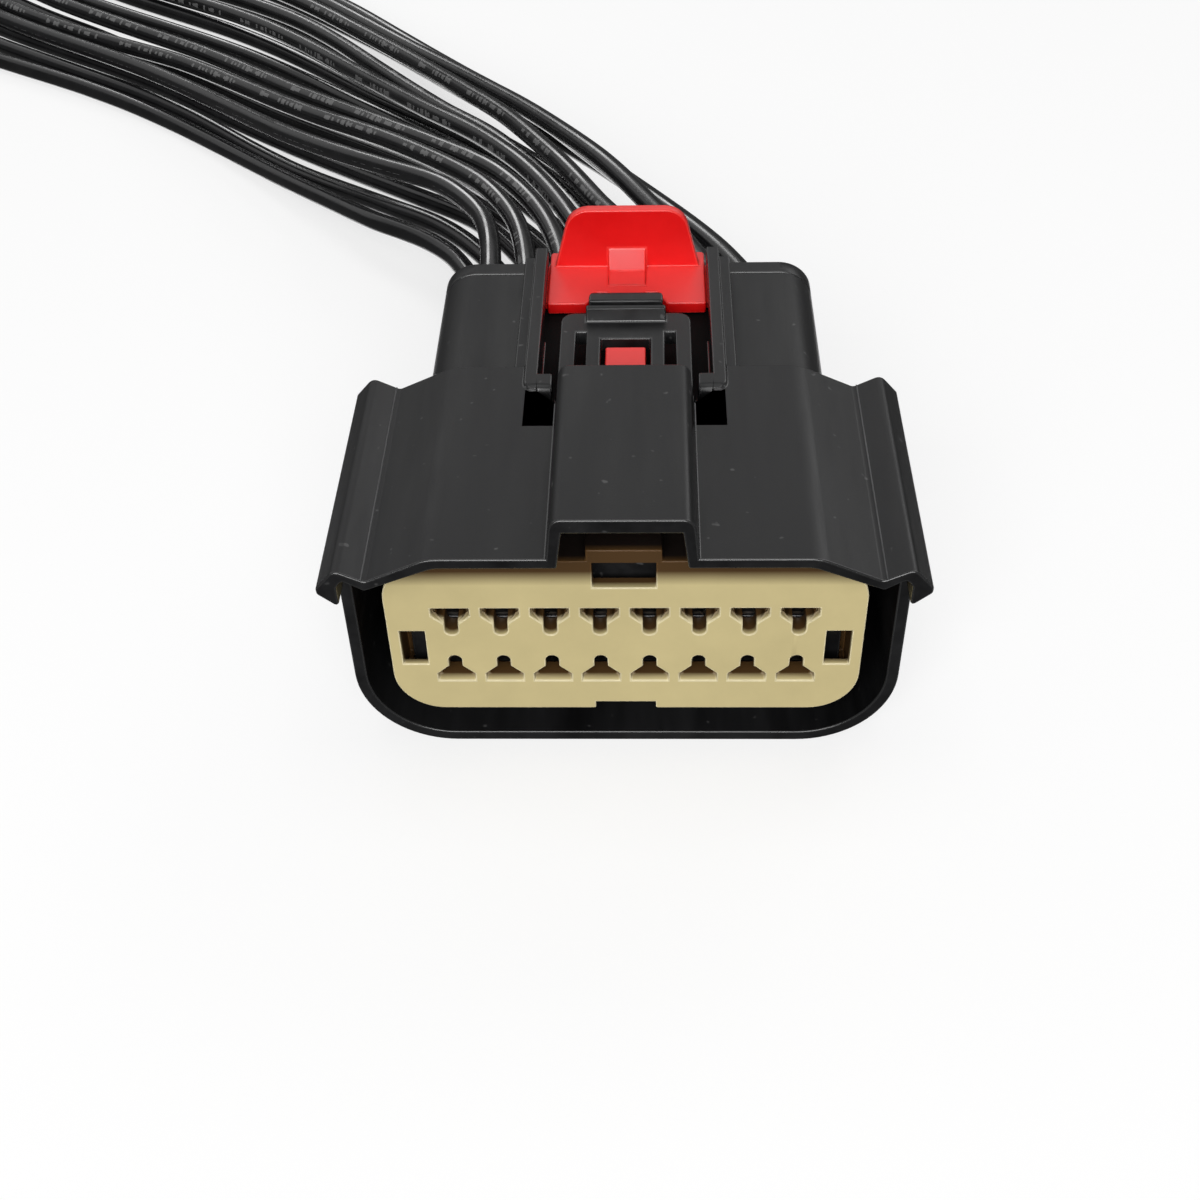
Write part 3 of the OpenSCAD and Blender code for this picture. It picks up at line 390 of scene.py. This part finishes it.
def moulded(name, colour, rough, tone=(0.9, 1.1), grain_scale=9000.0, patch_scale=160.0,
            bump=0.12, specular=0.5, stretch=(1, 1, 1), painted_shade_colour=None, speck_colour=None):
    material, surface, shade = uneven_material(
        name, colour, bump, Grain_Scale=grain_scale, Patch_Scale=patch_scale,
        Patch_Stretch=stretch, Rough_Low=rough[0], Rough_High=rough[1], Tone_Low=tone[0],
        Tone_High=tone[1])
    tree, shader = material.node_tree, shader_sockets(material)
    shader["Specular IOR Level"].default_value = specular
    if painted_shade_colour:
        shade = with_painted_shade(tree, shade, painted_shade_colour)
    if speck_colour:
        shade = blend(tree, surface["Specks"], shade, opaque(speck_colour))
    feed(tree, shade, shader["Base Color"])
    return material


black_plastic = moulded("black plastic", colour=(0.0075, 0.0075, 0.008), rough=(0.28, 0.52),
                        tone=(0.5, 1.6), patch_scale=330.0, stretch=(1, 0.12, 1), bump=0.16,
                        specular=0.43, speck_colour=(0.06, 0.06, 0.06))
# Paler than the black plastic: a painted highlight on the rounded edges, with a shinier finish.
black_edge_painted_highlight = moulded("black plastic edge, painted highlight", colour=(0.018, 0.018, 0.0185), rough=(0.2, 0.32),
                     tone=(0.8, 1.25), specular=0.8)
# Darker than the black plastic: painted shade for the channel's floor, with a duller finish.
black_channel_painted_shade = moulded("black plastic channel floor, painted shade", colour=(0.004, 0.004, 0.004), rough=(0.65, 0.8),
                     specular=0.08)
# Much paler than the black plastic: a painted highlight for the mould lines.
black_line_painted_highlight = moulded("black plastic line, painted highlight", colour=(0.085, 0.085, 0.087), rough=(0.3, 0.45),
                       tone=(0.7, 1.3))
# The tan plastic's own colour, with painted shade in its openings and under the hood.
tan_plastic = moulded("tan plastic", colour=(0.63, 0.53, 0.27), rough=(0.42, 0.55),
                      tone=(0.95, 1.05), specular=0.3, painted_shade_colour=(0.075, 0.038, 0.012))
# Paler than the tan plastic: a painted highlight on the edges, with the same painted shade in
# depth.
tan_edge_painted_highlight_and_shade = moulded("tan plastic edge, painted highlight and shade", colour=(0.75, 0.66, 0.41), rough=(0.4, 0.52),
                   tone=(0.96, 1.04), specular=0.3, painted_shade_colour=(0.1, 0.05, 0.016))
red_plastic = moulded("red plastic", colour=(0.74, 0.0015, 0.002), rough=(0.36, 0.5),
                      tone=(0.92, 1.06), specular=0.6)
# Paler than the red plastic: a painted highlight on the rounded edges.
red_edge_painted_highlight = moulded("red plastic edge, painted highlight", colour=(0.84, 0.03, 0.026), rough=(0.3, 0.42),
                   tone=(0.96, 1.04), specular=0.6)
# Paler than the red plastic: a painted sheen on the slide's upward faces.
red_top_painted_sheen = moulded("red plastic top, painted sheen", colour=(0.88, 0.046, 0.043), rough=(0.36, 0.5),
                     tone=(0.94, 1.05), specular=0.6)
dark_rubber = moulded("dark rubber", colour=(0.012, 0.012, 0.013), rough=(0.55, 0.7),
                      grain_scale=5000.0, bump=0.2)
grey_rubber = moulded("grey rubber", colour=(0.09, 0.09, 0.1), rough=(0.55, 0.7),
                      grain_scale=5000.0, bump=0.2)
print("materials so far:", len(bpy.data.materials))

# %% [markdown]
# The solids have sharp edges, but every moulded edge is slightly round and shows as a thin
# bright line. Bevelled shading could fake that, yet only in one renderer. So each moulding is
# copied, its triangles are merged back into flat faces, and a Bevel modifier rounds what is
# sharp. Its new faces take the second material, which on the plastics is paler as a painted
# highlight. Weighted normals keep the flat faces flat. The copy then stands for the solid and
# moves with the same body.

# %% Round the edges of the mouldings
SAME_POINT = 0.000015
SAME_PLANE = math.radians(0.6)
SHARP = math.radians(30)
EDGE_STEPS = 2
MAIN_FINISH, EDGE_FINISH = 0, 1


def flat_faced_copy(node):
    shape = bmesh.new()
    shape.from_mesh(solids[node].data)
    bmesh.ops.remove_doubles(shape, verts=shape.verts, dist=SAME_POINT)
    bmesh.ops.dissolve_limit(shape, angle_limit=SAME_PLANE, verts=shape.verts, edges=shape.edges)
    for face in shape.faces:
        face.smooth = True
        face.material_index = MAIN_FINISH
    mesh = bpy.data.meshes.new(node + "_rough")
    shape.to_mesh(mesh)
    shape.free()
    return put_in_scene(bpy.data.objects.new(node + "_rough", mesh))


def finished_mesh(piece, name):
    bpy.context.view_layer.update()
    graph = bpy.context.evaluated_depsgraph_get()
    mesh = bpy.data.meshes.new_from_object(piece.evaluated_get(graph), depsgraph=graph)
    mesh.name = name
    bpy.data.objects.remove(piece)
    return put_in_scene(bpy.data.objects.new(name, mesh))


def rounded_piece(node, body, finish, edge_finish, edge_width):
    piece = flat_faced_copy(node)
    piece.data.materials.append(finish)
    piece.data.materials.append(edge_finish)
    edges = piece.modifiers.new("Round edges", "BEVEL")
    edges.width, edges.segments, edges.material = edge_width, EDGE_STEPS, EDGE_FINISH
    edges.limit_method, edges.angle_limit = "ANGLE", SHARP
    edges.use_clamp_overlap = False
    normals = piece.modifiers.new("Flat faces", "WEIGHTED_NORMAL")
    normals.keep_sharp = True
    made = finished_mesh(piece, node + "_moulding")
    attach(made, body)
    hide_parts(node)
    print(node, "faces:", len(made.data.polygons))
    return made


housing = rounded_piece("housing", "connector", black_plastic, black_edge_painted_highlight,
                        edge_width=0.00013)
rounded_piece("front_retainer", "connector", tan_plastic, tan_edge_painted_highlight_and_shade,
              edge_width=0.0001)
rounded_piece("rear_cap", "connector", black_plastic, black_edge_painted_highlight,
              edge_width=0.00013)
slide = rounded_piece("lock_slide", "lock", red_plastic, red_edge_painted_highlight,
                      edge_width=0.00014)
rounded_piece("ring_seal", "connector", dark_rubber, dark_rubber,
              edge_width=0.00015)

# %% [markdown]
# Two places have a finish of their own. The slide's upward faces are paler than its plate: a
# painted sheen, where its tops face the light. The channel's floor, which the slide runs on, is
# darker, which is painted shade, and duller, and stays black beside the red. A mask in the
# material could do this, but a face knows its own place and normal, so the faces that lie there
# are simply given the other finish.

# %% Faces with painted sheen and painted shade
LOOKS_UP = 0.7
CHANNEL_REACH = 0.0006
slide_low, slide_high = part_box("lock_slide")


def refinish(piece, finish, chosen):
    piece.data.materials.append(finish)
    faces = [face for face in piece.data.polygons
             if face.material_index == MAIN_FINISH and chosen(face)]
    for face in faces:
        face.material_index = len(piece.data.materials) - 1
    print(finish.name, "faces:", len(faces))


def looks_up(face):
    return face.normal.z > LOOKS_UP


def in_channel(face):
    across = abs(face.center.x) < slide_high.x + CHANNEL_REACH
    return looks_up(face) and across and abs(face.center.z - slide_low.z) < CHANNEL_REACH


# Painted sheen: the slide's upward faces take the paler red.
refinish(slide, red_top_painted_sheen, looks_up)
# Painted shade: the channel's floor takes the darker black.
refinish(housing, black_channel_painted_shade, in_channel)

# %% [markdown]
# A fine raised line runs along the foot of each folded rib, where two parts of the mould met.
# Its pale colour is a painted highlight. It could be a bump in the material, but then its edge
# would not catch the light. So it is a low ridge with a three-cornered section, which lies on
# the rib's inner slope from the front of the hood to its back and stands a little way into the
# hood.

# %% Mould lines beside the ribs
LINE_PLACE = Vector((0.01708, 0, 0.02037))
LINE_SLOPE = math.radians(27)
LINE_WIDTH = 0.00012
LINE_HEIGHT = 0.0001
LINE_ENDS = (-0.0194, 0.0017)


def line_section(side):
    outwards = Vector((side * math.cos(LINE_SLOPE), 0, math.sin(LINE_SLOPE)))
    upwards = Vector((-side * math.sin(LINE_SLOPE), 0, math.cos(LINE_SLOPE)))
    foot = Vector((side * LINE_PLACE.x, 0, LINE_PLACE.z)) - upwards * LINE_HEIGHT
    return [foot - outwards * LINE_WIDTH, foot + outwards * LINE_WIDTH,
            foot + upwards * 2 * LINE_HEIGHT]


def mould_lines():
    shape = bmesh.new()
    for side in (-1, 1):
        section = line_section(side)
        rings = [[shape.verts.new(p + Vector((0, y, 0))) for p in section] for y in LINE_ENDS]
        for i in range(len(section)):
            j = (i + 1) % len(section)
            shape.faces.new((rings[0][i], rings[0][j], rings[1][j], rings[1][i]))
        for ring in rings:
            shape.faces.new(ring)
    bmesh.ops.recalc_face_normals(shape, faces=shape.faces)
    mesh = bpy.data.meshes.new("rib_mould_lines")
    shape.to_mesh(mesh)
    shape.free()
    return mesh


lines = put_in_scene(bpy.data.objects.new("rib_mould_lines", mould_lines()))
# The mould lines take the pale black, a painted highlight.
lines.data.materials.append(black_line_painted_highlight)
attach(lines, "connector")
print("mould lines, faces:", len(lines.data.polygons))

# %% [markdown]
# What lies inside keeps its solid and only gets a finish: the wire seal is soft grey rubber, and
# the contacts are tinned metal with a faint cloudy shine.

# %% Inner pieces
def tinned_metal():
    material, _, _ = uneven_material("tinned metal", (0.5, 0.49, 0.47), Patch_Scale=900.0,
                                     Rough_Low=0.22, Rough_High=0.4, Tone_Low=0.85,
                                     Tone_High=1.05)
    shader_sockets(material)["Metallic"].default_value = 1.0
    return material


def finish_solid(node, material):
    mesh = solids[node].data
    mesh.materials.clear()
    mesh.materials.append(material)


contact_metal = tinned_metal()
finish_solid("wire_seal", grey_rubber)
for k in range(1, LEADS + 1):
    finish_solid(f"terminal_{k}", contact_metal)
print("contacts finished:", LEADS)

# %% [markdown]
# The insulation is extruded, so its finish runs along the lead: a soft shine, a little waviness,
# and on one side a row of faint pale marks that stands for the print. The marks are plain bars
# of uneven height in short groups, which the shader finds from two numbers that the tube stores
# at each point: how far along the lead it is, and how far round.

# %% Insulation of the leads
MARK_PITCH = 0.00035
MARK_HEIGHT = 0.055
MARK_LEAST = 0.45
GROUP_PITCH = 0.014
GROUP_SHARE = 0.7
PRINT_MIDDLE = 0.5
PRINT_STRENGTH = 0.3
PRINT_COLOUR = (0.3, 0.3, 0.3)


def print_mask(tree):
    along, around = (
        add(tree, "ShaderNodeAttribute", {"attribute_name": name}).outputs["Fac"]
        for name in ("along", "around"))
    number = maths(tree, "FLOOR", maths(tree, "DIVIDE", along, MARK_PITCH))
    bars = add(tree, "ShaderNodeTexWhiteNoise", {"noise_dimensions": "1D"}, W=number)
    height = bars.outputs["Value"]
    in_group = maths(tree, "FRACT", maths(tree, "DIVIDE", along, GROUP_PITCH))
    off_middle = maths(tree, "ABSOLUTE", maths(tree, "SUBTRACT", around, PRINT_MIDDLE))
    marks = maths(tree, "MULTIPLY", maths(tree, "GREATER_THAN", height, MARK_LEAST),
                  maths(tree, "LESS_THAN", in_group, GROUP_SHARE))
    tall = maths(tree, "LESS_THAN", off_middle, maths(tree, "MULTIPLY", height, MARK_HEIGHT))
    return maths(tree, "MULTIPLY", maths(tree, "MULTIPLY", marks, tall), PRINT_STRENGTH)


def insulation():
    material, _, shade = uneven_material(
        "wire insulation", (0.006, 0.006, 0.0065), bump=0.1, Grain_Scale=4000.0,
        Patch_Scale=220.0, Rough_Low=0.16, Rough_High=0.3, Tone_Low=0.6, Tone_High=1.4)
    tree = material.node_tree
    printed = blend(tree, print_mask(tree), shade, opaque(PRINT_COLOUR))
    feed(tree, printed, shader_sockets(material)["Base Color"])
    return material


wire_insulation = insulation()
print("insulation, nodes:", len(wire_insulation.node_tree.nodes))

# %% [markdown]
# The tube is drawn by Geometry Nodes: the line of edges becomes a curve, a circle is swept along
# it, and the lengths along and around are stored before the sweep. The circle keeps its top up,
# so the print of every lead can be turned one by one. The insulation stops short of the far end.
# A Trim Curve node's lengths share their names with its factors, so they go by number.

# %% Insulated stretch of a lead
TRIM_START, TRIM_END = 4, 5


def trimmed(tree, curve, start, end):
    node = add(tree, "GeometryNodeTrimCurve", {"mode": "LENGTH"}, Curve=curve)
    feed(tree, start, node.inputs[TRIM_START])
    feed(tree, end, node.inputs[TRIM_END])
    return node.outputs["Curve"]


def captured(tree, geometry, value):
    node = add(tree, "GeometryNodeCaptureAttribute", Geometry=geometry)
    node.capture_items.new("FLOAT", "Value")
    feed(tree, value, node.inputs["Value"])
    return node.outputs["Geometry"], node.outputs["Value"]


def insulated_stretch(tree, given, route, coated):
    spline = add(tree, "GeometryNodeSplineParameter").outputs
    line, along = captured(tree, trimmed(tree, route, 0.0, coated), spline["Length"])
    circle = add(tree, "GeometryNodeCurvePrimitiveCircle", Resolution=given["Sides"],
                 Radius=given["Radius"])
    profile, around = captured(tree, circle.outputs["Curve"], spline["Factor"])
    turned = maths(tree, "FRACT", maths(tree, "ADD", around, given["Print Turn"]))
    mesh = add(tree, "GeometryNodeCurveToMesh", Curve=line, Profile_Curve=profile,
               Fill_Caps=True).outputs["Mesh"]
    for name, value in (("along", along), ("around", turned)):
        mesh = add(tree, "GeometryNodeStoreNamedAttribute", Geometry=mesh, Name=name,
                   Value=value).outputs["Geometry"]
    smooth = add(tree, "GeometryNodeSetShadeSmooth", Geometry=mesh)
    coat = add(tree, "GeometryNodeSetMaterial", Geometry=smooth.outputs["Geometry"],
               Material=given["Insulation"])
    return coat.outputs["Geometry"]


# %% [markdown]
# At the far end seven twisted strands come out: six circles round one, swept along the last few
# millimetres, while the curve's tilt turns them. The whole tree is built once, and each lead
# sets its own turn of the print.

# %% Bare strands, and the whole lead
LEAD_DIAMETER = 0.00195
LEAD_SIDES = 16
BARE_LENGTH = 0.004
STRAND_RADIUS = 0.00018
STRAND_SIDES = 8
STRAND_TWIST = 250.0
STRANDS_ROUND = 6
STRAND_SPREAD = 2.0


def bare_strands(tree, given, route, coated, length):
    spline = add(tree, "GeometryNodeSplineParameter").outputs
    tilt = maths(tree, "MULTIPLY", spline["Length"], STRAND_TWIST)
    twist = add(tree, "GeometryNodeSetCurveTilt", Curve=trimmed(tree, route, coated, length),
                Tilt=tilt)
    spread = maths(tree, "MULTIPLY", given["Strand Radius"], STRAND_SPREAD)
    ring = add(tree, "GeometryNodeMeshCircle", {"fill_type": "TRIANGLE_FAN"},
               Vertices=STRANDS_ROUND, Radius=spread)
    strand = add(tree, "GeometryNodeCurvePrimitiveCircle", Resolution=STRAND_SIDES,
                 Radius=given["Strand Radius"])
    strands = add(tree, "GeometryNodeInstanceOnPoints", Points=ring.outputs["Mesh"],
                  Instance=strand.outputs["Curve"])
    bunch = add(tree, "GeometryNodeRealizeInstances", Geometry=strands.outputs["Instances"])
    drawn = add(tree, "GeometryNodeCurveToMesh", Curve=twist.outputs["Curve"],
                Profile_Curve=bunch.outputs["Geometry"], Fill_Caps=True)
    shine = add(tree, "GeometryNodeSetMaterial", Geometry=drawn.outputs["Mesh"],
                Material=given["Metal"])
    return shine.outputs["Geometry"]


def lead_tree():
    tree = bpy.data.node_groups.new("Lead along its route", "GeometryNodeTree")
    tree.is_modifier = True
    group_sockets(tree, "INPUT", "Geometry", "Route")
    group_sockets(tree, "INPUT", "Float", Radius=LEAD_DIAMETER / 2, Print_Turn=0.0,
                  Bare_Length=BARE_LENGTH, Strand_Radius=STRAND_RADIUS)
    group_sockets(tree, "INPUT", "Int", Sides=LEAD_SIDES)
    group_sockets(tree, "INPUT", "Material", "Insulation", "Metal")
    group_sockets(tree, "OUTPUT", "Geometry", "Lead")
    given = add(tree, "NodeGroupInput").outputs
    curve = add(tree, "GeometryNodeMeshToCurve", Mesh=given["Route"])
    upright = add(tree, "GeometryNodeSetCurveNormal", {"mode": "Z_UP"},
                  Curve=curve.outputs["Curve"])
    route = upright.outputs["Curve"]
    length = add(tree, "GeometryNodeCurveLength", Curve=route).outputs["Length"]
    coated = maths(tree, "SUBTRACT", length, given["Bare Length"])
    both = add(tree, "GeometryNodeJoinGeometry",
               Geometry=insulated_stretch(tree, given, route, coated))
    feed(tree, bare_strands(tree, given, route, coated, length), both.inputs["Geometry"])
    whole = add(tree, "GeometryNodeRealizeInstances", Geometry=both.outputs["Geometry"])
    add(tree, "NodeGroupOutput", Lead=whole.outputs["Geometry"])
    return tree


lead_tube = lead_tree()
print("Geometry Nodes tree:", lead_tube.name)

# %% [markdown]
# Every lead is its own cord with its own length, so each gets a line, the modifier and a plain
# mesh made from the result. A modifier's inputs are set by their identifiers, which a small
# look-up finds from their names. The leads are also kept in a collection, for a lamp of theirs.

# %% Leads
PRINT_TURNS = [0.45, 0.87, 0.85, 0.97, 0.76, 0.88, 0.35, 0.3,
               0.6, 0.1, 0.5, 0.7, 0.45, 0.65, 0.55, 0.3]


def set_inputs(modifier, **values):
    names = {item.name: item.identifier for item in modifier.node_group.interface.items_tree
             if item.item_type == "SOCKET" and item.in_out == "INPUT"}
    for key, value in values.items():
        modifier[names[key.replace("_", " ")]] = value


def line_object(name, points):
    mesh = bpy.data.meshes.new(name)
    mesh.from_pydata(points, [(i, i + 1) for i in range(len(points) - 1)], [])
    return put_in_scene(bpy.data.objects.new(name, mesh))


leads = bpy.data.collections.new("leads")
for k, points in lead_lines.items():
    line = line_object(f"lead_{k}_line", points)
    tube = line.modifiers.new("Tube", "NODES")
    tube.node_group = lead_tube
    set_inputs(tube, Radius=LEAD_DIAMETER / 2, Sides=LEAD_SIDES, Print_Turn=PRINT_TURNS[k - 1],
               Bare_Length=BARE_LENGTH, Strand_Radius=STRAND_RADIUS, Insulation=wire_insulation,
               Metal=contact_metal)
    lead = finished_mesh(line, f"lead_{k}")
    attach(lead, "connector")
    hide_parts(f"wire_{k}")
    leads.objects.link(lead)
print("leads:", LEADS, "faces each:", len(lead.data.polygons))

# %% [markdown]
# The floor is plain and pale, as in a small photo tent. It glows faintly, so that the shadows on
# it stay light. It is kept out of the reflections, so that it doesn't grey the black plastic
# from below, and it lets through the light of a lamp under the table.

# %% Floor
FLOOR_SIZE = 12.0
FLOOR_DROP = 0.00002
FLOOR_COLOUR = (0.3, 0.3, 0.3)
FLOOR_GLOW = 0.7
WHITE = (1, 1, 1)


def floor_material():
    material = bpy.data.materials.new("pale floor")
    material.use_nodes = True
    shader = shader_sockets(material)
    shader["Base Color"].default_value = opaque(FLOOR_COLOUR)
    shader["Roughness"].default_value = 0.9
    shader["Specular IOR Level"].default_value = 0.0
    shader["Emission Color"].default_value = opaque(WHITE)
    shader["Emission Strength"].default_value = FLOOR_GLOW
    return material


half = FLOOR_SIZE / 2
corners = [(x, y, -FLOOR_DROP)
           for x, y in ((-half, -half), (half, -half), (half, half), (-half, half))]
floor_mesh = bpy.data.meshes.new("floor")
floor_mesh.from_pydata(corners, [], [range(len(corners))])
floor_mesh.materials.append(floor_material())
floor = put_in_scene(bpy.data.objects.new("floor", floor_mesh))
floor.visible_diffuse = False
floor.visible_glossy = False
floor.visible_shadow = False
print("floor in m:", FLOOR_SIZE)

# %% [markdown]
# The light is soft, from wide lamps. One behind and above gives the black tops their sheen, one
# on each side lights the folded ribs and the leads, one ahead lights the tan face, and one
# overhead lights what slopes forward. A small one lights the leads alone, by light linking, for
# the glint where they bend. One under the table stands for the light that a white table throws
# up behind the part, which shows as a pale line on its sides. The room adds a weak even light,
# and only the camera sees it as pale.

# %% Light
ROOM_LIGHT = 0.12
ROOM_SEEN = 0.85


def softbox(name, place, target, width, height, power):
    lamp = bpy.data.lights.new(name, "AREA")
    lamp.shape, lamp.size, lamp.size_y, lamp.energy = "RECTANGLE", width, height, power
    box = bpy.data.objects.new(name, lamp)
    box.location = place
    box.rotation_euler = (Vector(target) - Vector(place)).to_track_quat("-Z", "Y").to_euler()
    return put_in_scene(box)


softbox("back softbox", place=(0, 0.45, 0.38), target=(0, 0, 0.01),
        width=0.7, height=0.3, power=0.52)
softbox("front softbox", place=(-0.05, -0.6, 0.4), target=(0, 0, 0.01),
        width=0.7, height=0.4, power=5.6)
softbox("left softbox", place=(-0.45, 0.36, 0.3), target=(0, 0.02, 0.01),
        width=0.4, height=0.3, power=0.25)
softbox("right softbox", place=(0.4, 0.42, 0.4), target=(0, 0.03, 0.01),
        width=0.3, height=0.3, power=0.5)
softbox("top softbox", place=(0, 0, 0.6), target=(0, 0, 0),
        width=0.4, height=0.3, power=0.7)
glint = softbox("glint on the leads", place=(-0.18, 0.55, 0.28), target=(-0.01, 0.036, 0.012),
                width=0.14, height=0.14, power=0.45)
glint.light_linking.receiver_collection = leads
softbox("table glow", place=(0, 0.5, -0.41), target=(0, 0, 0.01),
        width=0.9, height=0.3, power=1.2)
world = bpy.data.worlds.new("pale room")
world.use_nodes = True
room = world.node_tree.nodes["Background"].inputs
room["Color"].default_value = opaque(WHITE)
ray = add(world.node_tree, "ShaderNodeLightPath")
seen = add(world.node_tree, "ShaderNodeMapRange", Value=ray.outputs["Is Camera Ray"],
           To_Min=ROOM_LIGHT, To_Max=ROOM_SEEN)
feed(world.node_tree, seen.outputs["Result"], room["Strength"])
bpy.context.scene.world = world
bpy.context.scene.view_settings.view_transform = "Standard"
print("lamps:", len(bpy.data.lights))
